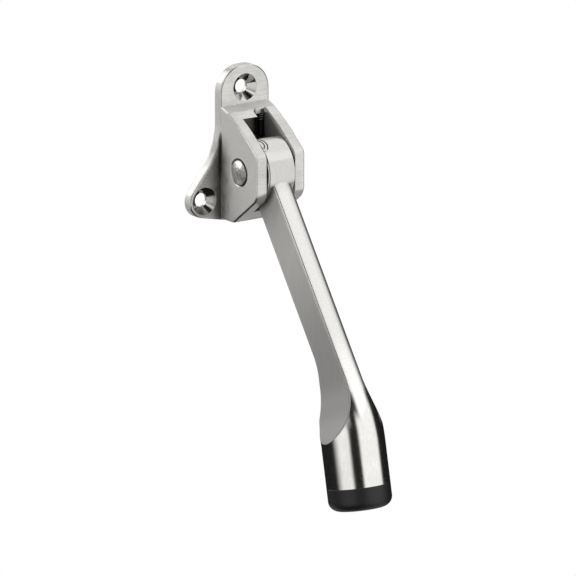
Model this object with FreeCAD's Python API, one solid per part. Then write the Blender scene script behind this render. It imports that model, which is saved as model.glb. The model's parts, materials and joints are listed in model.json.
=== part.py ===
import FreeCAD, Part
import math
import os

os.makedirs("parts", exist_ok=True)

# Kick-down door holder. Millimetres.
# X runs along the door's width, the door's face is the plane Y = 0 and the holder stands out
# towards -Y, +Z is up. The origin is on the back face, level with the pivot pin.

V = FreeCAD.Vector

# ---- base plate ----
PLATE_THICK = 3.6
TAB_HALF = 10.5            # half width of the upper tab
TAB_TOP = 35.6             # top edge above the pivot
TAB_CORNER = 9.4
WING_X = 17.5              # lower screw holes, each side of the middle
WING_Z = -11.6
WING_RADIUS = 6.2
FLARE_ANGLE = 39.0         # the wing's upper edge, measured from vertical
FLARE_RADIUS = 26.0
SKIRT_ANGLE = 12.0         # the plate's lower edge, measured from horizontal
SKIRT_RADIUS = 30.0
PLATE_EDGE = 0.7           # rounding of the plate's front edge

# ---- screw holes ----
TOP_HOLE_Z = 27.5
SCREW_HOLE_R = 2.5
SINK_R = 5.0
SINK_DEPTH = 2.5

# ---- clevis ----
CLEVIS_HALF = 10.4
SLOT_HALF = 6.15
PIVOT_Y = -14.55
BRIDGE_UNDERSIDE = 18.2
CHEEK_CORNERS = [          # Y, Z and rounding of the cheeks' outline, from the top round the front
    (-1.0, 22.8, 0.0), (-7.6, 20.3, 2.0), (-16.4, 14.9, 50.0), (-25.5, 7.5, 3.5),
    (-25.5, -8.2, 5.5), (-11.0, -19.1, 3.0), (-1.0, -19.1, 0.0)]
CLEVIS_EDGE = 0.5          # bevel along the cheeks' edges
HUB_GAP = 0.35             # radial room round the arm's hub
STOP_GAP = 0.05            # between the arm's back and its stop
NOTCH_LEFT = 0.1           # the spring's recess, open to the front on the right half
NOTCH_BACK = -7.4
NOTCH_CORNER = 2.0
RECESS_OVERLAP = 0.3       # the recess is cut from this far below the bridge's underside

# ---- pivot ----
PIN_R = 3.175
PIN_FIT = 0.05             # radial running clearance in the arm's hub
SEAT_FIT = 0.01            # pin and bracket are pressed together
HEAD_R = 4.7
HEAD_SINK_R = 5.2
HEAD_DEPTH = 1.3
HEAD_DOME = 0.9

# ---- arm ----
HUB_R = 12.1
HUB_HALF = 5.7
HUB_CHAMFER = 0.45
FLAT_DIST = 10.8           # detent flat, measured from the pivot's axis
FLAT_TILT = 15.4           # the flat leans back from level
GROOVE_RADII = [2.6, 3.8]  # two ring grooves, part of which cross the hub's left rim
GROOVE_WIDTH = 0.5
GROOVE_DEPTH = 0.8
GROOVE_X = -6.4            # the rings' middle
GROOVE_RISE = 62.0         # and how far round it is, from straight ahead towards the top
BAR_HALF = 3.8
BAR_FRONT = 8.1            # crown of the front face, measured from the pivot's axis
BAR_BACK = 5.85
BAR_ANGLE = 35.3           # from straight down towards the front
BAR_LENGTH = 68.0          # to where the round end takes over
BEND_AT = (-65.6, -70.9)   # Y, Z where the end's axis meets the bar's
END_ANGLE = 12.0
END_R = 11.35
END_TOP = 66.0             # the round end's rod starts inside the bar, this far from the pivot
END_LENGTH = 32.6          # from the bend to the rubber tip
SCOOP_LOW = 15.6           # the flat sides run out this far below the bend
SCOOP_R = 30.0
SCOOP_ANGLE = 24.0         # the run-outs lie square to a line at this angle, between bar and end
RIM_EDGE = 0.8             # rounding of the edges all round the arm's flat sides
ROD_BEND = 40.0            # bend radius of the rod that the front of the bar and end are cut from
BACK_BEND = 20.0           # bend radius of the back
BACK_CLEAR = 0.1           # the back's cut runs out this far behind the round end
RIM_START = 18.0           # rims nearer to the pivot than this stay sharp

# ---- rubber tip and its fastening ----
TIP_HEIGHT = 8.3
TIP_ROUND = 3.7
RECESS_R = 5.2
RECESS_DEPTH = 4.0
WASHER_R = 4.9
WASHER_THICK = 0.8
TIP_SCREW_R = 2.0
TIP_SCREW_LENGTH = 13.0
TIP_HOLE_DEPTH = 14.0
TIP_HEAD_R = 3.7
TIP_HEAD_HEIGHT = 2.2
CROSS_LENGTH = 4.0         # the cross recess in the screw's head
CROSS_WIDTH = 0.9
CROSS_DEPTH = 1.3
SMALL_GAP = 0.02

# ---- detent ----
PLUNGER_X = 4.85
PLUNGER_Y = -6.2
PLUNGER_R = 1.25
PLUNGER_TOP = 15.1
SPIGOT_R = 0.75
SPIGOT_HEIGHT = 1.8
SPRING_MEAN_R = 1.0
SPRING_WIRE_R = 0.21
SPRING_TURNS = 5.0
SEAT_R = 1.35
SEAT_TOP = 19.7
NOSE_GAP = 0.05

# ---- friction washers ----
FRICTION_R = 8.5
FRICTION_BORE_R = 3.3
FRICTION_THICK = 0.35

BIG = 60.0                 # cutting blocks reach well past the part
OVERCUT = 1.0              # how far a cut runs past the face it starts from
TOLERANCE = 1e-3


def yz(y, z, x=0.0):
    return V(x, y, z)


def rounded_outline(corners):
    """A closed wire through corners (point, radius), each corner rounded by a tangent arc."""
    points = [point for point, radius in corners]
    radii = [radius for point, radius in corners]
    count = len(points)
    starts = []
    ends = []
    middles = []
    for i in range(count):
        here = points[i]
        back = (points[i - 1] - here).normalize()
        ahead = (points[(i + 1) % count] - here).normalize()
        half = back.getAngle(ahead) / 2
        reach = radii[i] / math.tan(half)
        bisector = (back + ahead).normalize()
        starts.append(here + back * reach)
        ends.append(here + ahead * reach)
        middles.append(here + bisector * (radii[i] / math.sin(half) - radii[i]))
    edges = []
    for i in range(count):
        if radii[i] > 0:
            edges.append(Part.Arc(starts[i], middles[i], ends[i]).toShape())
        if (starts[(i + 1) % count] - ends[i]).Length > TOLERANCE:
            edges.append(Part.LineSegment(ends[i], starts[(i + 1) % count]).toShape())
    return Part.Wire(edges)


def prism(wire, direction):
    return Part.Face(wire).extrude(direction)


def polygon(points):
    return Part.makePolygon(points + [points[0]])


def cylinder(radius, height, base, axis):
    return Part.makeCylinder(radius, height, base, axis)


def block(x0, x1, y0, y1, z0, z1):
    return Part.makeBox(x1 - x0, y1 - y0, z1 - z0, V(x0, y0, z0))


def direction_down(angle):
    """Unit vector in the YZ plane, angle degrees from straight down towards the front."""
    turn = math.radians(angle)
    return V(0, -math.sin(turn), -math.cos(turn))


def direction_front(angle):
    """Unit vector square to direction_down, pointing to the front."""
    turn = math.radians(angle)
    return V(0, -math.cos(turn), math.sin(turn))


PIVOT = V(0, PIVOT_Y, 0)
BAR_DOWN = direction_down(BAR_ANGLE)
BAR_OUT = direction_front(BAR_ANGLE)
END_DOWN = direction_down(END_ANGLE)
END_OUT = direction_front(END_ANGLE)
SCOOP_DOWN = direction_down(SCOOP_ANGLE)
SCOOP_OUT = direction_front(SCOOP_ANGLE)
BEND = yz(*BEND_AT)
TIP_TOP = BEND + END_DOWN * END_LENGTH


def front_edges(shape, y):
    """The edges of a shape that lie wholly in the plane Y = y."""
    return [edge for edge in shape.Edges
            if max(abs(edge.BoundBox.YMin - y), abs(edge.BoundBox.YMax - y)) < TOLERANCE]


# ---- bracket ----

def plate_outline():
    """The three-lobed plate's outline in the plane Y = 0."""
    flare = math.radians(FLARE_ANGLE)
    skirt = math.radians(SKIRT_ANGLE)
    wing = V(WING_X, 0, WING_Z)
    upper_normal = V(math.cos(flare), 0, math.sin(flare))
    lower_normal = V(math.sin(skirt), 0, -math.cos(skirt))
    upper = wing + upper_normal * WING_RADIUS
    lower = wing + lower_normal * WING_RADIUS
    side_z = upper.z + (upper.x - TAB_HALF) / math.tan(flare)
    bottom_z = lower.z - lower.x * math.tan(skirt)
    spread = WING_RADIUS / (1 + upper_normal.dot(lower_normal))
    wing_corner = wing + (upper_normal + lower_normal) * spread
    right = [(V(TAB_HALF, 0, side_z), FLARE_RADIUS), (wing_corner, WING_RADIUS)]
    left = [(V(-point.x, 0, point.z), radius) for point, radius in reversed(right)]
    top = [(V(-TAB_HALF, 0, TAB_TOP), TAB_CORNER), (V(TAB_HALF, 0, TAB_TOP), TAB_CORNER)]
    return rounded_outline(top + right + [(V(0, 0, bottom_z), SKIRT_RADIUS)] + left)


def screw_hole(x, z):
    """A countersunk hole through the plate."""
    out = V(0, -1, 0)
    hole = cylinder(SCREW_HOLE_R, PLATE_THICK + 2 * OVERCUT, V(x, OVERCUT, z), out)
    slope = (SINK_R - SCREW_HOLE_R) / SINK_DEPTH
    sink = Part.makeCone(SCREW_HOLE_R, SINK_R + slope * OVERCUT, SINK_DEPTH + OVERCUT,
                         V(x, SINK_DEPTH - PLATE_THICK, z), out)
    return hole.fuse(sink)


def make_plate():
    plate = prism(plate_outline(), V(0, -PLATE_THICK, 0))
    return plate.makeFillet(PLATE_EDGE, front_edges(plate, -PLATE_THICK))


def make_clevis_block():
    """The cheeks' outline as one solid block, its two side outlines bevelled."""
    corners = [(yz(y, z, -CLEVIS_HALF), radius) for y, z, radius in CHEEK_CORNERS]
    solid = prism(rounded_outline(corners), V(2 * CLEVIS_HALF, 0, 0))
    rim = [edge for edge in solid.Edges
           if edge.BoundBox.XLength < TOLERANCE
           and edge.BoundBox.YMin < -PLATE_THICK - CLEVIS_EDGE]
    return solid.makeChamfer(CLEVIS_EDGE, rim)


def make_slot():
    """What the arm needs between the cheeks: room for the hub, the pocket and the way out."""
    width = V(2 * SLOT_HALF, 0, 0)
    side = -SLOT_HALF
    hub_room = cylinder(HUB_R + HUB_GAP, 2 * SLOT_HALF, V(side, PIVOT_Y, 0), V(1, 0, 0))
    pocket = block(side, SLOT_HALF, -BIG, -PLATE_THICK, 0, BRIDGE_UNDERSIDE)
    stop = PIVOT - BAR_OUT * (BAR_BACK + STOP_GAP)
    foot = stop + BAR_DOWN * BIG
    way = [yz(stop.y, stop.z, side), yz(foot.y, foot.z, side), yz(foot.y - BIG, foot.z, side),
           yz(foot.y - BIG, BRIDGE_UNDERSIDE, side), yz(stop.y, BRIDGE_UNDERSIDE, side)]
    return hub_room.fuse([pocket, prism(polygon(way), width)])


def make_spring_recess():
    """A recess open to the front in the bridge's right half, and the blind seat behind it."""
    low = BRIDGE_UNDERSIDE - RECESS_OVERLAP
    corners = [(V(NOTCH_LEFT, -BIG, low), 0.0), (V(NOTCH_LEFT, NOTCH_BACK, low), NOTCH_CORNER),
               (V(SLOT_HALF, NOTCH_BACK, low), 0.0), (V(SLOT_HALF, -BIG, low), 0.0)]
    notch = prism(rounded_outline(corners), V(0, 0, BIG))
    seat = cylinder(SEAT_R, SEAT_TOP - low, V(PLUNGER_X, PLUNGER_Y, low), V(0, 0, 1))
    return notch.fuse(seat)


def make_pin_bore():
    bore = cylinder(PIN_R + SEAT_FIT, 2 * CLEVIS_HALF, V(-CLEVIS_HALF, PIVOT_Y, 0), V(1, 0, 0))
    sinks = []
    for side in (-1, 1):
        inner = V(side * (CLEVIS_HALF - HEAD_DEPTH - SEAT_FIT), PIVOT_Y, 0)
        sinks.append(Part.makeCone(PIN_R + SEAT_FIT, HEAD_SINK_R, HEAD_DEPTH + SEAT_FIT,
                                   inner, V(side, 0, 0)))
    return bore.fuse(sinks)


def make_bracket():
    solid = make_plate().fuse(make_clevis_block())
    solid = solid.cut([make_slot(), make_spring_recess(), make_pin_bore()])
    holes = [screw_hole(0, TOP_HOLE_Z), screw_hole(-WING_X, WING_Z), screw_hole(WING_X, WING_Z)]
    return solid.cut(holes).removeSplitter()


# ---- pivot ----

def make_pivot_pin():
    """A pin peened into a low dome at both ends, flush in the cheeks' countersinks."""
    pin = cylinder(PIN_R, 2 * CLEVIS_HALF, V(-CLEVIS_HALF, PIVOT_Y, 0), V(1, 0, 0))
    dome_r = (HEAD_R ** 2 + HEAD_DOME ** 2) / (2 * HEAD_DOME)
    for side in (-1, 1):
        face = V(side * CLEVIS_HALF, PIVOT_Y, 0)
        out = V(side, 0, 0)
        cone = Part.makeCone(PIN_R, HEAD_R, HEAD_DEPTH, face - out * HEAD_DEPTH, out)
        ball = Part.makeSphere(dome_r, face - out * (dome_r - HEAD_DOME))
        dome = ball.common(cylinder(HEAD_R, 2 * HEAD_DOME, face, out))
        pin = pin.fuse([cone, dome])
    return pin.removeSplitter()


def make_friction_washer(side):
    """A thin washer midway between the hub's face and the cheek."""
    gap = SLOT_HALF - HUB_HALF - FRICTION_THICK
    near = side * (HUB_HALF + gap / 2)
    disc = cylinder(FRICTION_R, FRICTION_THICK, V(near, PIVOT_Y, 0), V(side, 0, 0))
    return disc.cut(cylinder(FRICTION_BORE_R, BIG, V(-BIG / 2, PIVOT_Y, 0), V(1, 0, 0)))


# ---- arm ----

def bar_section():
    """A section square to the bar: straight sides and back, front crowned like the round end."""
    drop = END_R - math.sqrt(END_R ** 2 - BAR_HALF ** 2)
    front = BAR_OUT * (BAR_FRONT - drop)
    left = V(-BAR_HALF, 0, 0)
    right = V(BAR_HALF, 0, 0)
    rear = BAR_OUT * -BAR_BACK
    crown = Part.Arc(PIVOT + left + front, PIVOT + BAR_OUT * BAR_FRONT, PIVOT + right + front)
    sides = Part.makePolygon([PIVOT + right + front, PIVOT + right + rear, PIVOT + left + rear,
                              PIVOT + left + front])
    return Part.Wire([crown.toShape()] + sides.Edges)


def make_hub():
    hub = cylinder(HUB_R, 2 * HUB_HALF, V(-HUB_HALF, PIVOT_Y, 0), V(1, 0, 0))
    hub = hub.makeChamfer(HUB_CHAMFER, [edge for edge in hub.Edges if edge.Closed])
    tilt = math.radians(FLAT_TILT)
    normal = V(0, math.sin(tilt), math.cos(tilt))
    along = V(0, math.cos(tilt), -math.sin(tilt))
    corner = PIVOT + normal * FLAT_DIST - along * BIG / 2 - V(BIG / 2, 0, 0)
    flat = prism(polygon([corner, corner + V(BIG, 0, 0), corner + V(BIG, 0, 0) + along * BIG,
                          corner + along * BIG]), normal * BIG)
    return hub.cut([flat] + [make_groove(radius) for radius in GROOVE_RADII])


def make_groove(radius):
    """A ring groove sunk into the hub's round."""
    rise = math.radians(GROOVE_RISE)
    out = V(0, -math.cos(rise), math.sin(rise))
    floor = PIVOT + V(GROOVE_X, 0, 0) + out * (HUB_R - GROOVE_DEPTH)
    ring = cylinder(radius + GROOVE_WIDTH / 2, BIG, floor, out)
    return ring.cut(cylinder(radius - GROOVE_WIDTH / 2, BIG, floor, out))


def make_scoop(side):
    """The side of the round end that is cut away to the bar's thickness, with a curved run-out."""
    rise = END_R - BAR_HALF
    run = math.sqrt(SCOOP_R ** 2 - (SCOOP_R - rise) ** 2)
    mid_angle = math.asin(run / SCOOP_R) / 2

    def at(x, down):
        return BEND + V(side * x, 0, 0) + SCOOP_DOWN * down - SCOOP_OUT * BIG / 2

    start = at(BAR_HALF, SCOOP_LOW - run)
    middle = at(BAR_HALF + SCOOP_R * (1 - math.cos(mid_angle)),
                SCOOP_LOW - run + SCOOP_R * math.sin(mid_angle))
    end = at(END_R, SCOOP_LOW)
    rest = Part.makePolygon([end, at(BIG, SCOOP_LOW), at(BIG, -BIG), at(BAR_HALF, -BIG), start])
    outline = Part.Wire([Part.Arc(start, middle, end).toShape()] + rest.Edges)
    return prism(outline, SCOOP_OUT * BIG)


def crossing(start, along, other_start, other_along):
    """Where two lines in the YZ plane cross."""
    square = V(0, -other_along.z, other_along.y)
    return start + along * ((other_start - start).dot(square) / along.dot(square))


def make_rod():
    """A round rod bent from the bar's line into the end's; the crown is part of its surface."""
    start = PIVOT + BAR_OUT * (BAR_FRONT - END_R) + BAR_DOWN * END_TOP
    corner = crossing(start, BAR_DOWN, BEND, END_DOWN)
    half = math.radians(BAR_ANGLE - END_ANGLE) / 2
    reach = ROD_BEND * math.tan(half)
    inward = (END_DOWN - BAR_DOWN).normalize()
    enter = corner - BAR_DOWN * reach
    middle = corner + inward * (ROD_BEND / math.cos(half) - ROD_BEND)
    leave = corner + END_DOWN * reach
    path = Part.Wire([Part.LineSegment(start, enter).toShape(),
                      Part.Arc(enter, middle, leave).toShape(),
                      Part.LineSegment(leave, TIP_TOP).toShape()])
    ring = Part.Wire([Part.makeCircle(END_R, start, BAR_DOWN)])
    return path.makePipeShell([ring], True, False)


def make_back_cut():
    """What is cut away behind the bar's back, curving out behind the round end."""
    bar_back = PIVOT - BAR_OUT * BAR_BACK
    end_back = BEND - END_OUT * (END_R + BACK_CLEAR)
    corner = crossing(bar_back, BAR_DOWN, end_back, END_DOWN)
    low = end_back + END_DOWN * BIG
    side = V(-BIG / 2, 0, 0)
    outline = rounded_outline([(bar_back + side, 0.0), (corner + side, BACK_BEND),
                               (low + side, 0.0), (low + V(0, BIG, 0) + side, 0.0),
                               (bar_back + V(0, BIG, 0) + side, 0.0)])
    return prism(outline, V(BIG, 0, 0))


def make_end():
    """The arm's round end, faired into the bar."""
    return make_rod().cut([make_back_cut(), make_scoop(-1), make_scoop(1)])


def is_rim_edge(edge):
    """True for the edges all round the arm's flat sides and run-outs."""
    middle = edge.CenterOfMass
    along = edge.Vertexes[-1].Point - edge.Vertexes[0].Point
    clear_of_hub = (middle - PIVOT).Length > RIM_START
    on_side = BAR_HALF - TOLERANCE < abs(middle.x) < END_R - RIM_EDGE
    crosses_side = abs(along.dot(SCOOP_DOWN)) < TOLERANCE
    return clear_of_hub and on_side and not crosses_side


def make_arm():
    bar = prism(bar_section(), BAR_DOWN * BAR_LENGTH)
    solid = make_hub().fuse([bar, make_end()])
    bore = cylinder(PIN_R + PIN_FIT, BIG, V(-BIG / 2, PIVOT_Y, 0), V(1, 0, 0))
    tapped = cylinder(TIP_SCREW_R + SMALL_GAP, TIP_HOLE_DEPTH, TIP_TOP, -END_DOWN)
    solid = solid.cut([bore, tapped]).removeSplitter()
    return solid.makeFillet(RIM_EDGE, [edge for edge in solid.Edges if is_rim_edge(edge)])


# ---- rubber tip ----

def make_rubber_tip():
    tip = cylinder(END_R, TIP_HEIGHT, TIP_TOP, END_DOWN)
    bottom = TIP_TOP + END_DOWN * TIP_HEIGHT
    rim = [edge for edge in tip.Edges if edge.Closed
           and (edge.CenterOfMass - bottom).Length < TOLERANCE]
    tip = tip.makeFillet(TIP_ROUND, rim)
    recess = cylinder(RECESS_R, RECESS_DEPTH, bottom - END_DOWN * RECESS_DEPTH, END_DOWN)
    hole = cylinder(TIP_SCREW_R + SMALL_GAP, TIP_HEIGHT, TIP_TOP, END_DOWN)
    return tip.cut([recess, hole])


def recess_floor():
    return TIP_TOP + END_DOWN * (TIP_HEIGHT - RECESS_DEPTH)


def make_tip_washer():
    washer = cylinder(WASHER_R, WASHER_THICK, recess_floor(), END_DOWN)
    return washer.cut(cylinder(TIP_SCREW_R + SMALL_GAP, WASHER_THICK, recess_floor(), END_DOWN))


def make_tip_screw():
    """A pan head with a cross recess, and a plain shank where the thread would be."""
    seat = recess_floor() + END_DOWN * WASHER_THICK
    head = cylinder(TIP_HEAD_R, TIP_HEAD_HEIGHT, seat, END_DOWN)
    outer = [edge for edge in head.Edges if edge.Closed
             and (edge.CenterOfMass - seat).Length > TIP_HEAD_HEIGHT / 2]
    head = head.makeFillet(TIP_HEAD_HEIGHT / 2, outer)
    shank = cylinder(TIP_SCREW_R, TIP_SCREW_LENGTH, seat, -END_DOWN)
    face = seat + END_DOWN * TIP_HEAD_HEIGHT
    slots = [cross_slot(face, V(1, 0, 0), END_OUT), cross_slot(face, END_OUT, V(1, 0, 0))]
    return head.fuse(shank).cut(slots)


def cross_slot(face, along, across):
    """One bar of the cross recess, cut into the screw head's face."""
    length = along * CROSS_LENGTH
    width = across * CROSS_WIDTH
    corner = face - length / 2 - width / 2 - END_DOWN * CROSS_DEPTH
    outline = polygon([corner, corner + length, corner + length + width, corner + width])
    return prism(outline, END_DOWN * (CROSS_DEPTH + OVERCUT))


# ---- detent ----

def make_plunger():
    """A round-nosed plunger riding on the hub, with a spigot that centres the spring."""
    behind = PLUNGER_Y - PIVOT_Y
    reach = HUB_R + PLUNGER_R + NOSE_GAP
    nose_z = math.sqrt(reach ** 2 - behind ** 2)
    up = V(0, 0, 1)
    nose = Part.makeSphere(PLUNGER_R, V(PLUNGER_X, PLUNGER_Y, nose_z))
    stem = cylinder(PLUNGER_R, PLUNGER_TOP - nose_z, V(PLUNGER_X, PLUNGER_Y, nose_z), up)
    spigot = cylinder(SPIGOT_R, SPIGOT_HEIGHT, V(PLUNGER_X, PLUNGER_Y, PLUNGER_TOP), up)
    return nose.fuse([stem, spigot]).removeSplitter()


def make_spring():
    """The coil spring between the plunger's shoulder and the roof of its seat."""
    low = PLUNGER_TOP + SPRING_WIRE_R + SMALL_GAP
    height = SEAT_TOP - SPRING_WIRE_R - SMALL_GAP - low
    helix = Part.makeHelix(height / SPRING_TURNS, height, SPRING_MEAN_R)
    circle = Part.makeCircle(SPRING_WIRE_R, V(SPRING_MEAN_R, 0, 0), V(0, 1, 0))
    coil = Part.Wire(helix).makePipeShell([Part.Wire(circle)], True, True)
    coil.translate(V(PLUNGER_X, PLUNGER_Y, low))
    return coil


PARTS = {
    "bracket": make_bracket(),
    "pivot_pin": make_pivot_pin(),
    "friction_washer_left": make_friction_washer(-1),
    "friction_washer_right": make_friction_washer(1),
    "arm": make_arm(),
    "rubber_tip": make_rubber_tip(),
    "tip_washer": make_tip_washer(),
    "tip_screw": make_tip_screw(),
    "detent_plunger": make_plunger(),
    "detent_spring": make_spring(),
}

for name, shape in PARTS.items():
    print(name, "valid", shape.isValid(), "solids", len(shape.Solids), "volume", round(shape.Volume, 1))
    shape.exportStep("parts/" + name + ".step")
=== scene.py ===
"""The looks of a kick-down door holder: materials, light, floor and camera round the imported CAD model."""

import json
import math

import bpy
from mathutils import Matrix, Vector


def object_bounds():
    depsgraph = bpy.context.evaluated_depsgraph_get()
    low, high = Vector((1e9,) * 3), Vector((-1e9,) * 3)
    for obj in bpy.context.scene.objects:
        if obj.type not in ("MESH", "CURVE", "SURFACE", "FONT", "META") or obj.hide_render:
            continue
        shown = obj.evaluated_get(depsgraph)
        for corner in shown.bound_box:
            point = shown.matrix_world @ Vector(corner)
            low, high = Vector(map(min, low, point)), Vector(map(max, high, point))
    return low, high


MM = 0.001
WHITE = (1, 1, 1, 1)

# ---- camera ----
VIEW_AZIMUTH = -35.5        # degrees round from the front, towards the left
VIEW_ELEVATION = 14.8
CAMERA_DISTANCE = 3.0
FRAME_WIDTH = 0.2028        # what the picture spans at the target
SENSOR_WIDTH = 36.0
LOOK_AT = (-0.0058, -0.0379, -0.0377)   # what the middle of the picture shows

# ---- light ----
# Each softbox is a patch of the studio round the object, in degrees: azimuths from the camera
# (starts, full, full, ends), then elevations the same way, then how bright it is.
SOFTBOXES = {
    "key": ((18, 28, 91, 105), (-42, -32, 24, 34), 1.18),
    "key_upper": ((34, 50, 92, 106), (20, 30, 50, 66), 1.46),
    "strip_left": ((-82, -47, -20, -6), (-42, -32, 28, 38), 1.10),
    "strip_high": ((-78, -62, -8, 4), (24, 34, 54, 64), 1.50),
    "left_high": ((-150, -135, -92, -80), (-8, 8, 70, 84), 2.00),
    "top_right": ((84, 94, 160, 180), (25, 33, 72, 86), 1.30),
    "back": ((140, 160, 205, 220), (22, 32, 50, 65), 0.85),
    "left_low": ((-178, -165, -125, -110), (-62, -52, -30, -22), 0.60),
    "right_low": ((50, 80, 200, 225), (-82, -72, -42, -34), 0.55),
}
HALF_TURN = 180.0
ROOM_RADIANCE = 0.012
BACKDROP_RADIANCE = 1.0
FLOOR_SIZE = 8.0
FLOOR_GAP = 0.0004          # under the rubber tip

# ---- directions and places on the part, in millimetres ----
ACROSS = (1.0, 0.0, 0.0)            # along the door's width, as the pivot pin runs
INTO_DOOR = (0.0, 1.0, 0.0)
UP = (0.0, 0.0, 1.0)
END_UP = (0.0, 0.2079, 0.9781)      # up the axis of the arm's round end
CHEEK_X = 10.4              # outer faces of the cheeks, from the middle
SLOT_X = 6.25               # inner faces of the cheeks, from the middle
PLATE_Y = -3.6              # front of the plate
BACK_Y = -0.5               # just in front of the plate's back
SINK_R = 5.0                # the countersinks' radius
RIM_POINT = (0.0, -16.4, 14.9)      # on the cheeks' slanted rims
RIM_OUT = (0.0, -0.631, 0.776)      # square to them

# ---- where the bracket's finish and its painted shade change: each fade runs from its first value to its last ----
CHEEK_FACING = (0.88, 0.95)         # how squarely a face has to look outwards
LEVEL_FACING = (0.85, 0.95)         # and upwards, or into the door
CREVICE_FADE = (1.5, 8.6)           # distances from the corner
CREVICE_TOP = (2.0, 14.0)           # heights
CREVICE_DEPTH_SHARE = 0.8           # what a distance off the plate counts, against one along it
CREVICE_BLOTCHES = (0.5, 0.5, 0.25)
CREVICE_RAGGED = 4.0                # how far the blotches shift its edge
CORNER_FADE = (0.3, 1.6)            # distances out from the cheek
CORNER_LEVELS = (-7.0, 0.0, 9.0, 14.0)      # heights: starts, full, full, ends
CORNER_DEPTH = 0.6                  # how far from the plate's front the dark line reaches
CHEEK_MARGIN = 0.2                  # how far inside the cheek's face the corner still counts
POCKET_FADE = (0.3, 3.0)            # depths below the rims
POCKET_LEVELS = (-6.0, 2.0, 18.3, 18.4)
SINK_BLEND = 0.15                   # past a countersink's rim

# ---- where the arm's finish and its painted shade change ----
ARM_FACING = (0.48, 0.62)           # how squarely a face has to look outwards
BAR_SIDE_X = (5.2, 5.8)             # the bar's sides lie inside this, the wider round end outside
END_FACING = (0.08, 0.2)            # how far the sides' run-outs look up the round end
SCOOP_FACING = (0.05, 0.35)
HUB_FADE = (12.3, 16.0)             # this and the rest are distances from the pivot
ROOT_FADE = (11.5, 15.5)
SHAFT_FADE = (64.0, 92.0)
LOW_SIDE_FADE = (25.0, 75.0)
SCOOP_FADE = (60.0, 80.0)

# ---- metal ----
MIDDLE_VALUES = (0.3, 0.7)          # the noise values that are spread over a whole ramp
MOST_VALUES = (0.2, 0.8)
CLOUDS = (0.11, 0.11, 0.11)
FINE_STREAKS = 3.1                  # how much finer the second set of streaks is
STREAK_SHARE = 0.7                  # of the relief; the fine streaks have the rest
BUMP_STRENGTH = 3.0
BUMP_DEPTH = 0.01
EDGE_TURN = (0.01, 0.18)            # how far a bevel has to turn the surface
# the edges' painted highlight: how much of it, and how much lighter than the tint
EDGE_SHARE = 0.8
EDGE_HIGHLIGHT_LIGHTER = 1.22
BEVEL_SAMPLES = 6
SMOOTHEST = -0.04                   # the fine streaks' roughness, about a metal's own
ROUGHEST = 0.06
SIDE_ROUGHER = 0.26                 # the flat sides are blasted this much rougher
SIDE_METALLIC = 0.3
SINK_SMOOTHER = 0.6
BAR_TURN = (math.radians(35.3), 0, 0)       # turns the streaks along the bar

NICKEL = (0.60, 0.59, 0.57, 1)
NICKEL_DARK = (0.52, 0.51, 0.49, 1)
BLASTED_NICKEL = (0.75, 0.735, 0.71, 1)
# painted shade in the corner between the wings and the cheeks
CREVICE_SHADE = (0.16, 0.15, 0.14, 1)
# painted shade: a dark line right in the corner by the cheek
CORNER_SHADE_BLACK = (0.03, 0.028, 0.026, 1)
# painted shade inside the slot
POCKET_SHADE_GREY = (0.19, 0.19, 0.18, 1)
POLISHED_NICKEL = (0.80, 0.785, 0.76, 1)
POLISHED_NICKEL_DARK = (0.74, 0.725, 0.70, 1)
BLASTED_ARM = (0.73, 0.715, 0.69, 1)
SHAFT_GREY = (0.60, 0.59, 0.57, 1)
# painted shade round the hub, toning down the bright top light
HUB_SHADE_GREY = (0.56, 0.55, 0.53, 1)
# painted shadow on the sides where the bar leaves the hub
ROOT_SHADE = (0.12, 0.115, 0.11, 1)
LOW_SIDE_GREY = (0.43, 0.42, 0.405, 1)
# painted shade on the upturned lower ends of the arm's sides
SCOOP_SHADE_GREY = (0.28, 0.272, 0.265, 1)
STEEL = (0.62, 0.62, 0.61, 1)
STEEL_DARK = (0.50, 0.50, 0.49, 1)
SPRING_GREY = (0.30, 0.30, 0.29, 1)
SPRING_GREY_DARK = (0.20, 0.20, 0.19, 1)
BLACK_OXIDE = (0.03, 0.03, 0.03, 1)
BLACK_OXIDE_DARK = (0.015, 0.015, 0.015, 1)

# ---- the pin's hammered ends ----
PIN_LIGHT = (1.0, 1.0, 0.98, 1)
PIN_DARK = (0.72, 0.71, 0.69, 1)
PIN_SHADE = (0.10, 0.10, 0.095, 1)
PIN_RIM_FADE = (4.0, 4.5)           # radii
PIN_METALLIC = 0.75
PIN_ROUGHNESS = (0.16, 0.26)
PIN_EDGE_R = 0.2
# how much painted highlight the pin's edges get
PIN_EDGE_HIGHLIGHT_SHARE = 0.5
DENTS = (0.85, 0.85, 0.85)
DENT_SMOOTHNESS = 0.6
DENT_STRENGTH = 1.0
DENT_DEPTH = 0.13
GRIT = (2.6, 2.6, 2.6)
GRIT_SHARE = 0.25
GRIT_VALUES = (0.35, 0.65)

# ---- rubber ----
RUBBER_BLACK = (0.005, 0.005, 0.005, 1)
RUBBER_SCUFFED = (0.016, 0.016, 0.015, 1)
RUBBER_WORN = (0.06, 0.06, 0.06, 1)
RUBBER_ROUGHNESS = (0.38, 0.58)
RUBBER_SPECULAR = 0.5
RUBBER_EDGE_R = 0.3
RUBBER_EDGE_SHARE = 0.5
RUBBER_GRAIN = (3.0, 3.0, 3.0)
RUBBER_SCUFFS = (0.35, 0.35, 1.2)
RUBBER_SCUFF_VALUES = (0.52, 0.75)
RUBBER_BUMP_STRENGTH = 0.35
RUBBER_BUMP_DEPTH = 0.03

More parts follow.
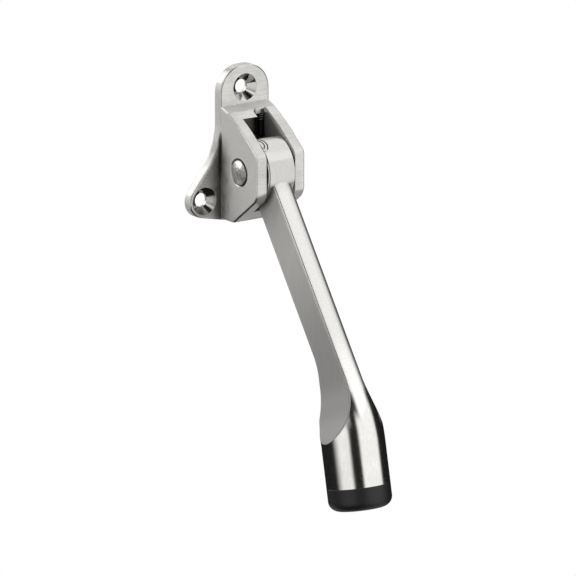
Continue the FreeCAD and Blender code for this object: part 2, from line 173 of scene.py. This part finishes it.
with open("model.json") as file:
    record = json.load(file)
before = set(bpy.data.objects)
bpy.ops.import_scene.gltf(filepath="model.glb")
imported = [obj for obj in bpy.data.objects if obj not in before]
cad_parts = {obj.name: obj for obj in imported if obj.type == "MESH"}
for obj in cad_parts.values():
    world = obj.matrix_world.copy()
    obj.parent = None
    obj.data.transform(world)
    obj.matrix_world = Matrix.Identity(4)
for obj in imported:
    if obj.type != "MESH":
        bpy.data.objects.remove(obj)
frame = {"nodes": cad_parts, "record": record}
cad_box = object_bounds()


# ---------------------------------------------------------------- places that the record states

def named(things, name):
    return next(thing for thing in things if thing["name"] == name)


def in_mm(place):
    return tuple(metres / MM for metres in place)


def arm_pivot():
    """A point on the axis that the arm swings round."""
    return in_mm(named(frame["record"]["behaviour"]["joints"], "arm_swing")["pos_m"])


def screw_holes():
    """A point on the axis of each of the plate's three screw holes."""
    mounts = frame["record"]["mounts"]
    lower = named(mounts, "lower_screws")
    x, y, z = in_mm(lower["pos_m"])
    half = lower["dims"]["spacing_x_mm"] / 2
    return [in_mm(named(mounts, "top_screw")["pos_m"]), (x - half, y, z), (x + half, y, z)]


# ---------------------------------------------------------------- shader building

class Graph:
    """A short way to build one node tree."""

    def __init__(self, tree):
        self.tree = tree
        tree.nodes.clear()

    def node(self, kind, inputs=None, **settings):
        new = self.tree.nodes.new(kind)
        for name, value in settings.items():
            setattr(new, name, value)
        for name, value in (inputs or {}).items():
            self.put(new, name, value)
        return new

    def put(self, node, name, value):
        """Sets an input to a number or colour, or links it from a socket."""
        socket = node.inputs[name]
        if isinstance(value, bpy.types.NodeSocket):
            self.tree.links.new(value, socket)
        else:
            socket.default_value = value

    def output(self, kind, shader):
        """Links a shader to the tree's output."""
        self.node(kind, {"Surface": shader.outputs[0]})

    def math(self, operation, a, b=0.0):
        return self.node("ShaderNodeMath", {0: a, 1: b}, operation=operation).outputs[0]

    def product(self, first, *others):
        for other in others:
            first = self.math("MULTIPLY", first, other)
        return first

    def absolute(self, value):
        return self.math("ABSOLUTE", value)

    def apart(self, a, b):
        """How far apart two numbers are."""
        return self.absolute(self.math("SUBTRACT", a, b))

    def vector(self, operation, a, b, output=0):
        new = self.node("ShaderNodeVectorMath", {0: a, 1: b}, operation=operation)
        return new.outputs[output]

    def dot(self, a, b):
        return self.vector("DOT_PRODUCT", a, b, "Value")

    def scaled(self, vector, factor):
        new = self.node("ShaderNodeVectorMath", {0: vector, "Scale": factor}, operation="SCALE")
        return new.outputs[0]

    def mix_colour(self, factor, a, b):
        new = self.node("ShaderNodeMix", {"Factor": factor}, data_type="RGBA")
        self.put(new, 6, a)
        self.put(new, 7, b)
        return new.outputs[2]

    def ramp(self, value, low, high, from_low, from_high):
        """value mapped from one range onto another, with soft ends."""
        new = self.node("ShaderNodeMapRange", {"Value": value, "From Min": from_low,
                                               "From Max": from_high, "To Min": low, "To Max": high},
                        interpolation_type="SMOOTHSTEP")
        return new.outputs["Result"]

    def rise(self, value, starts, full):
        """0 up to starts and 1 from full on."""
        return self.ramp(value, 0.0, 1.0, starts, full)

    def fall(self, value, full, ends):
        """1 up to full and 0 from ends on."""
        return self.ramp(value, 1.0, 0.0, full, ends)

    def window(self, value, starts, full, full_end, ends):
        """1 inside a range and 0 outside it, with a soft rise and fall."""
        return self.product(self.rise(value, starts, full), self.fall(value, full_end, ends))

    def place(self, scale=(1, 1, 1), rotation=(0, 0, 0)):
        """Object coordinates in millimetres, turned and stretched."""
        coords = self.node("ShaderNodeTexCoord")
        turned = self.node("ShaderNodeMapping", {"Vector": coords.outputs["Object"],
                                                 "Rotation": rotation,
                                                 "Scale": tuple(s / MM for s in scale)})
        return turned.outputs["Vector"]

    def coordinates(self):
        """The three object coordinates in millimetres, by their letters."""
        return self.node("ShaderNodeSeparateXYZ", {"Vector": self.place()}).outputs

    def noise(self, where, detail, roughness):
        new = self.node("ShaderNodeTexNoise", {"Vector": where, "Scale": 1.0, "Detail": detail,
                                               "Roughness": roughness})
        return new.outputs["Fac"]

    def bump(self, height, normal, strength, depth):
        """The normal of a surface with relief, which is depth millimetres deep."""
        new = self.node("ShaderNodeBump", {"Height": height, "Normal": normal, "Strength": strength,
                                           "Distance": depth * MM})
        return new.outputs[0]


def new_material(name):
    material = bpy.data.materials.new(name)
    material.use_nodes = True
    return material, Graph(material.node_tree)


# ---------------------------------------------------------------- masks

def edge_mask(graph, radius):
    """1 where a bevel of this radius would turn the surface, 0 on flat ground; and its normal."""
    bevel = graph.node("ShaderNodeBevel", {"Radius": radius * MM}, samples=BEVEL_SAMPLES)
    rounded = bevel.outputs["Normal"]
    flat = graph.node("ShaderNodeNewGeometry").outputs["Normal"]
    turned = graph.math("SUBTRACT", 1.0, graph.dot(rounded, flat))
    return graph.rise(turned, *EDGE_TURN), rounded


def line_distance(graph, point, along):
    """How far the surface is from a line through point, in millimetres."""
    offset = graph.vector("SUBTRACT", graph.place(), point)
    foot = graph.scaled(along, graph.dot(offset, along))
    return graph.vector("LENGTH", graph.vector("SUBTRACT", offset, foot), (0, 0, 0), "Value")


def pivot_distance(graph):
    return line_distance(graph, arm_pivot(), ACROSS)


def facing_mask(graph, way, starts, full):
    """1 where the surface looks a certain way."""
    normal = graph.node("ShaderNodeTexCoord").outputs["Normal"]
    return graph.rise(graph.dot(normal, way), starts, full)


def side_mask(graph, starts, full):
    """1 where the surface looks along X, to either side."""
    normal = graph.node("ShaderNodeTexCoord").outputs["Normal"]
    return graph.rise(graph.absolute(graph.dot(normal, ACROSS)), starts, full)


def before_back(graph):
    """1 in front of the plate's back face, 0 on it."""
    return graph.math("LESS_THAN", graph.coordinates()["Y"], BACK_Y)


def sink_mask(graph, hole):
    """1 inside the countersink of a screw hole."""
    near = graph.fall(line_distance(graph, hole, INTO_DOOR), SINK_R, SINK_R + SINK_BLEND)
    return graph.product(near, before_back(graph))


def crevice_shade_mask(graph):
    """1 in the corner between the wings and the cheeks, where shade is painted in."""
    where = graph.coordinates()
    from_middle = graph.absolute(where["X"])
    outward = graph.product(graph.apart(where["Y"], PLATE_Y), CREVICE_DEPTH_SHARE)
    away = graph.math("MAXIMUM", graph.apart(from_middle, CHEEK_X), outward)
    blotches = graph.noise(graph.place(CREVICE_BLOTCHES), detail=4.0, roughness=0.6)
    ragged = graph.math("ADD", away, graph.product(blotches, CREVICE_RAGGED))
    near = graph.product(graph.fall(ragged, *CREVICE_FADE), graph.fall(where["Z"], *CREVICE_TOP))
    outside = graph.math("GREATER_THAN", from_middle, CHEEK_X - CHEEK_MARGIN)
    return graph.product(near, graph.product(outside, before_back(graph)))


def corner_shade_mask(graph):
    """1 on the wing right in the corner by the cheek: a short dark line of painted shade beside the pin's
    height.
    """
    where = graph.coordinates()
    from_cheek = graph.math("SUBTRACT", graph.absolute(where["X"]), CHEEK_X)
    near = graph.fall(from_cheek, *CORNER_FADE)
    level = graph.window(where["Z"], *CORNER_LEVELS)
    outside = graph.math("GREATER_THAN", from_cheek, -CHEEK_MARGIN)
    on_wing = graph.math("LESS_THAN", graph.apart(where["Y"], PLATE_Y), CORNER_DEPTH)
    return graph.product(near, level, outside, on_wing)


def pocket_shade_mask(graph):
    """1 inside the slot between the cheeks, below the buffed rims, where shade is painted in."""
    where = graph.coordinates()
    below_rims = graph.dot(graph.vector("SUBTRACT", RIM_POINT, graph.place()), RIM_OUT)
    between = graph.math("LESS_THAN", graph.absolute(where["X"]), SLOT_X)
    inside = graph.product(between, before_back(graph))
    level = graph.window(where["Z"], *POCKET_LEVELS)
    return graph.product(inside, level, graph.rise(below_rims, *POCKET_FADE))


def bracket_flats(graph):
    """1 on the bracket's flat sides, level tops and back, and inside its slot."""
    level = facing_mask(graph, UP, *LEVEL_FACING)
    back = facing_mask(graph, INTO_DOOR, *LEVEL_FACING)
    sides = side_mask(graph, *CHEEK_FACING)
    flats = graph.math("MAXIMUM", sides, graph.math("MAXIMUM", level, back))
    return graph.math("MAXIMUM", flats, pocket_shade_mask(graph))


def arm_flats(graph):
    """1 on the arm's flat sides and their scooped run-outs, 0 on its round end."""
    inside = graph.fall(graph.absolute(graph.coordinates()["X"]), *BAR_SIDE_X)
    run_out = facing_mask(graph, END_UP, *END_FACING)
    return graph.product(side_mask(graph, *ARM_FACING), graph.math("MAXIMUM", inside, run_out))


def arm_rounds(graph):
    """1 where the arm's surface doesn't look along X."""
    return graph.math("SUBTRACT", 1.0, side_mask(graph, *ARM_FACING))


def shaft_mask(graph):
    """1 from the hub down the bar's front and back, fading out towards the round end."""
    return graph.product(graph.fall(pivot_distance(graph), *SHAFT_FADE), arm_rounds(graph))


def hub_shade_mask(graph):
    """1 round the pivot, where painted shade makes the arm darker than at its end."""
    return graph.product(graph.fall(pivot_distance(graph), *HUB_FADE), arm_rounds(graph))


def root_shadow_mask(graph):
    """1 on the flat sides where the bar leaves the hub, where a shadow is painted under the hub."""
    return graph.product(graph.fall(pivot_distance(graph), *ROOT_FADE), arm_flats(graph))


def low_side_mask(graph):
    """1 on the flat sides towards the arm's lower end."""
    return graph.product(graph.rise(pivot_distance(graph), *LOW_SIDE_FADE), arm_flats(graph))


def scoop_shade_mask(graph):
    """1 on the lower ends of the arm's flat sides, where they turn up to face the light and are painted
    darker as shade.
    """
    upward = facing_mask(graph, END_UP, *SCOOP_FACING)
    low = graph.rise(pivot_distance(graph), *SCOOP_FADE)
    return graph.product(upward, low, arm_flats(graph))


# ---------------------------------------------------------------- materials

def metal_shader(graph, colour, roughness, normal, metallic):
    shader = graph.node("ShaderNodeBsdfPrincipled", {"Base Color": colour, "Roughness": roughness,
                                                     "Normal": normal, "Metallic": metallic})
    graph.output("ShaderNodeOutputMaterial", shader)


def polish_sinks(graph, rough, height):
    """Roughness and relief with the countersinks turned smooth."""
    for hole in screw_holes():
        kept = graph.math("SUBTRACT", 1.0, graph.product(sink_mask(graph, hole), SINK_SMOOTHER))
        rough = graph.product(rough, kept)
        height = graph.product(height, kept)
    return rough, height


def brushed_metal(name, tint, dark_tint, stretch, roughness, edge_radius, grain,
                  rotation=(0, 0, 0), flats=None, flat_tint=None, patches=(), has_sinks=False):
    """Plated or plain metal: fine streaks along one direction, cloudy tone, a painted highlight along the
    edges.

    grain is how strongly the streaks show. flats is a function that masks the faces blasted to
    flat_tint. patches lists places with their own finish: (mask function, colour, roughness).
    has_sinks says that the metal has the plate's countersinks, which are turned smooth."""
    material, graph = new_material(name)
    streaks = graph.noise(graph.place(stretch, rotation), detail=3.0, roughness=0.7)
    fine = graph.noise(graph.place(tuple(s * FINE_STREAKS for s in stretch), rotation),
                       detail=2.0, roughness=0.6)
    clouds = graph.noise(graph.place(CLOUDS), detail=3.0, roughness=0.55)
    edges, rounded = edge_mask(graph, edge_radius)

    colour = graph.mix_colour(graph.rise(clouds, *MIDDLE_VALUES), dark_tint, tint)
    rough = graph.ramp(fine, roughness + SMOOTHEST, roughness + ROUGHEST, *MOST_VALUES)
    height = graph.math("ADD", graph.product(streaks, STREAK_SHARE),
                        graph.product(fine, 1.0 - STREAK_SHARE))
    metallic = 1.0
    if flats:
        blasted = flats(graph)
        colour = graph.mix_colour(blasted, colour, flat_tint)
        rough = graph.math("ADD", rough, graph.product(blasted, SIDE_ROUGHER))
        metallic = graph.ramp(blasted, 1.0, SIDE_METALLIC, 0.0, 1.0)
    if has_sinks:
        rough, height = polish_sinks(graph, rough, height)
    for patch_mask, patch_colour, patch_roughness in patches:
        mask = patch_mask(graph)
        colour = graph.mix_colour(mask, colour, patch_colour)
        rough = graph.math("ADD", rough, graph.product(mask, patch_roughness - roughness))

    # a painted highlight along the edges
    bright = tuple(min(1.0, c * EDGE_HIGHLIGHT_LIGHTER) for c in tint[:3]) + (1.0,)
    colour = graph.mix_colour(graph.product(edges, EDGE_SHARE), colour, bright)
    streak_tone = graph.ramp(streaks, 1.0 - grain, 1.0 + grain / 2, *MIDDLE_VALUES)
    relief = graph.bump(height, rounded, BUMP_STRENGTH * grain, BUMP_DEPTH)
    metal_shader(graph, graph.scaled(colour, streak_tone), rough, relief, metallic)
    return material


def satin_nickel():
    """The bracket: brushed across, flat faces blasted, painted shade in the corners and the slot,
    countersinks smooth.
    """
    # painted shade: in the corner by the cheeks, a dark line right in it, and inside the slot
    patches = [(crevice_shade_mask, CREVICE_SHADE, 0.45),
               (corner_shade_mask, CORNER_SHADE_BLACK, 0.5),
               (pocket_shade_mask, POCKET_SHADE_GREY, 0.4)]
    return brushed_metal("satin_nickel", NICKEL, NICKEL_DARK, stretch=(0.22, 2.6, 3.0),
                         roughness=0.27, edge_radius=0.2, grain=0.12, flats=bracket_flats,
                         flat_tint=BLASTED_NICKEL, patches=patches, has_sinks=True)


def satin_nickel_arm():
    """The arm: brushed along the bar, flat sides blasted, brightest on the round end, with painted shade
    round the hub, under it and on the sides' upturned lower ends.

    The patches overlap, and a later one covers an earlier one."""
    # the hub, root and scoop patches are painted shade
    patches = [(shaft_mask, SHAFT_GREY, 0.11),
               (hub_shade_mask, HUB_SHADE_GREY, 0.2),
               (root_shadow_mask, ROOT_SHADE, 0.14),
               (low_side_mask, LOW_SIDE_GREY, 0.14),
               (scoop_shade_mask, SCOOP_SHADE_GREY, 0.2)]
    return brushed_metal("satin_nickel_arm", POLISHED_NICKEL, POLISHED_NICKEL_DARK,
                         stretch=(2.2, 2.2, 0.12), rotation=BAR_TURN, roughness=0.14,
                         edge_radius=0.08, grain=0.06, flats=arm_flats, flat_tint=BLASTED_ARM,
                         patches=patches)


def washer_steel():
    return brushed_metal("washer_steel", STEEL, STEEL_DARK, stretch=(1.5, 1.5, 1.5),
                         roughness=0.32, edge_radius=0.1, grain=0.1)


def screw_steel():
    return brushed_metal("screw_steel", STEEL, STEEL_DARK, stretch=(2.0, 2.0, 2.0),
                         roughness=0.28, edge_radius=0.15, grain=0.1)


def spring_steel():
    return brushed_metal("spring_steel", SPRING_GREY, SPRING_GREY_DARK, stretch=(4.0, 4.0, 4.0),
                         roughness=0.32, edge_radius=0.05, grain=0.1)


def black_oxide():
    return brushed_metal("black_oxide", BLACK_OXIDE, BLACK_OXIDE_DARK, stretch=(3.0, 3.0, 0.4),
                         roughness=0.34, edge_radius=0.1, grain=0.1)


def peened_pin():
    """The hammered end of a pin: shallow dents a millimetre across, smooth between them."""
    material, graph = new_material("peened_pin")
    dents = graph.node("ShaderNodeTexVoronoi", {"Vector": graph.place(DENTS), "Scale": 1.0,
                                                "Smoothness": DENT_SMOOTHNESS},
                       feature="SMOOTH_F1").outputs["Distance"]
    grit = graph.noise(graph.place(GRIT), detail=3.0, roughness=0.6)
    edges, rounded = edge_mask(graph, PIN_EDGE_R)
    colour = graph.mix_colour(graph.rise(grit, *GRIT_VALUES), PIN_DARK, PIN_LIGHT)
    # painted highlight on the pin's edges
    colour = graph.mix_colour(graph.product(edges, PIN_EDGE_HIGHLIGHT_SHARE), colour, PIN_LIGHT)
    colour = graph.mix_colour(graph.rise(pivot_distance(graph), *PIN_RIM_FADE), colour, PIN_SHADE)
    rough = graph.ramp(grit, *PIN_ROUGHNESS, *MIDDLE_VALUES)
    height = graph.math("ADD", dents, graph.product(grit, GRIT_SHARE))
    relief = graph.bump(height, rounded, DENT_STRENGTH, DENT_DEPTH)
    metal_shader(graph, colour, rough, relief, PIN_METALLIC)
    return material


def black_rubber():
    """Moulded black rubber: matt, finely grained, greyer where it is scuffed."""
    material, graph = new_material("black_rubber")
    grain = graph.noise(graph.place(RUBBER_GRAIN), detail=3.0, roughness=0.6)
    scuffs = graph.noise(graph.place(RUBBER_SCUFFS), detail=5.0, roughness=0.65)
    edges, rounded = edge_mask(graph, RUBBER_EDGE_R)
    scuffed = graph.rise(scuffs, *RUBBER_SCUFF_VALUES)
    colour = graph.mix_colour(scuffed, RUBBER_BLACK, RUBBER_SCUFFED)
    colour = graph.mix_colour(graph.product(edges, RUBBER_EDGE_SHARE), colour, RUBBER_WORN)
    rough = graph.ramp(grain, *RUBBER_ROUGHNESS, *MIDDLE_VALUES)
    relief = graph.bump(grain, rounded, RUBBER_BUMP_STRENGTH, RUBBER_BUMP_DEPTH)
    shader = graph.node("ShaderNodeBsdfPrincipled", {"Base Color": colour, "Roughness": rough,
                                                     "Normal": relief,
                                                     "Specular IOR Level": RUBBER_SPECULAR})
    graph.output("ShaderNodeOutputMaterial", shader)
    return material


def set_finishes():
    """Gives each CAD node the finish of its slot in the record."""
    finishes = {
        "satin_nickel": satin_nickel(),
        "satin_nickel_arm": satin_nickel_arm(),
        "peened_pin": peened_pin(),
        "washer_steel": washer_steel(),
        "screw_steel": screw_steel(),
        "spring_steel": spring_steel(),
        "black_oxide": black_oxide(),
        "black_rubber": black_rubber(),
    }
    for subpart in frame["record"]["subparts"]:
        thing = frame["nodes"][subpart["node"]]
        for slot in thing.material_slots:
            slot.material = finishes[subpart["material_slot"]]


# ---------------------------------------------------------------- light, floor, camera

def pale_floor():
    material, graph = new_material("pale_floor")
    glow = graph.node("ShaderNodeEmission", {"Color": WHITE, "Strength": BACKDROP_RADIANCE})
    graph.output("ShaderNodeOutputMaterial", glow)
    return material


def add_floor(height):
    """A plain pale floor just under the tip. Only the camera sees it, so it dulls no reflection."""
    half = FLOOR_SIZE / 2
    mesh = bpy.data.meshes.new("floor")
    corners = [(-half, -half, height), (half, -half, height), (half, half, height),
               (-half, half, height)]
    mesh.from_pydata(corners, [], [(0, 1, 2, 3)])
    floor = bpy.data.objects.new("floor", mesh)
    bpy.context.scene.collection.objects.link(floor)
    floor.visible_glossy = False
    floor.visible_diffuse = False
    floor.visible_shadow = False
    mesh.materials.append(pale_floor())


def softbox_glow(graph, azimuth, elevation, azimuths, elevations, radiance):
    """How bright one softbox is in a direction. Azimuths are taken from the middle of the box."""
    middle = (azimuths[0] + azimuths[3]) / 2
    from_middle = graph.node("ShaderNodeMath", {0: graph.math("SUBTRACT", azimuth, middle),
                                                1: HALF_TURN, 2: -HALF_TURN}, operation="WRAP")
    across = graph.window(from_middle.outputs[0], *[a - middle for a in azimuths])
    along = graph.window(elevation, *elevations)
    return graph.product(across, along, radiance)


def studio_radiance(graph):
    """The softboxes as the object sees them, in a dim room."""
    look = graph.node("ShaderNodeTexCoord").outputs["Generated"]
    sides = graph.node("ShaderNodeSeparateXYZ", {"Vector": look}).outputs
    turn = graph.math("ARCTAN2", sides["X"], graph.product(sides["Y"], -1.0))
    azimuth = graph.math("SUBTRACT", graph.math("DEGREES", turn), VIEW_AZIMUTH)
    elevation = graph.math("DEGREES", graph.math("ARCSINE", sides["Z"]))
    total = ROOM_RADIANCE
    for azimuths, elevations, radiance in SOFTBOXES.values():
        glow = softbox_glow(graph, azimuth, elevation, azimuths, elevations, radiance)
        total = graph.math("MAXIMUM", total, glow)
    return total


def set_world():
    """White where the camera looks past the object, the studio everywhere else."""
    world = bpy.data.worlds.new("studio")
    world.use_nodes = True
    graph = Graph(world.node_tree)
    path = graph.node("ShaderNodeLightPath")
    seen = graph.product(path.outputs["Is Camera Ray"], BACKDROP_RADIANCE)
    strength = graph.math("MAXIMUM", studio_radiance(graph), seen)
    shade = graph.node("ShaderNodeBackground", {"Color": WHITE, "Strength": strength})
    graph.output("ShaderNodeOutputWorld", shade)
    bpy.context.scene.world = world


def direction(azimuth, elevation):
    """Unit vector towards a place round the object. Azimuth 0 is the front, -Y, and + is to +X."""
    turn = math.radians(azimuth)
    rise = math.radians(elevation)
    return Vector((math.sin(turn) * math.cos(rise), -math.cos(turn) * math.cos(rise),
                   math.sin(rise)))


def aim(thing, place, target):
    thing.location = place
    thing.rotation_euler = (place - target).to_track_quat("Z", "Y").to_euler()


def add_camera():
    """A long lens that looks at the object from far off, so that it shows almost no perspective."""
    target = Vector(LOOK_AT)
    data = bpy.data.cameras.new("camera")
    data.sensor_width = SENSOR_WIDTH
    data.lens = SENSOR_WIDTH * CAMERA_DISTANCE / FRAME_WIDTH
    camera = bpy.data.objects.new("camera", data)
    bpy.context.scene.collection.objects.link(camera)
    aim(camera, target + direction(VIEW_AZIMUTH, VIEW_ELEVATION) * CAMERA_DISTANCE, target)
    bpy.context.scene.camera = camera


set_finishes()
add_floor(cad_box[0][2] - FLOOR_GAP)
set_world()
add_camera()
bpy.context.scene.view_settings.view_transform = "Standard"
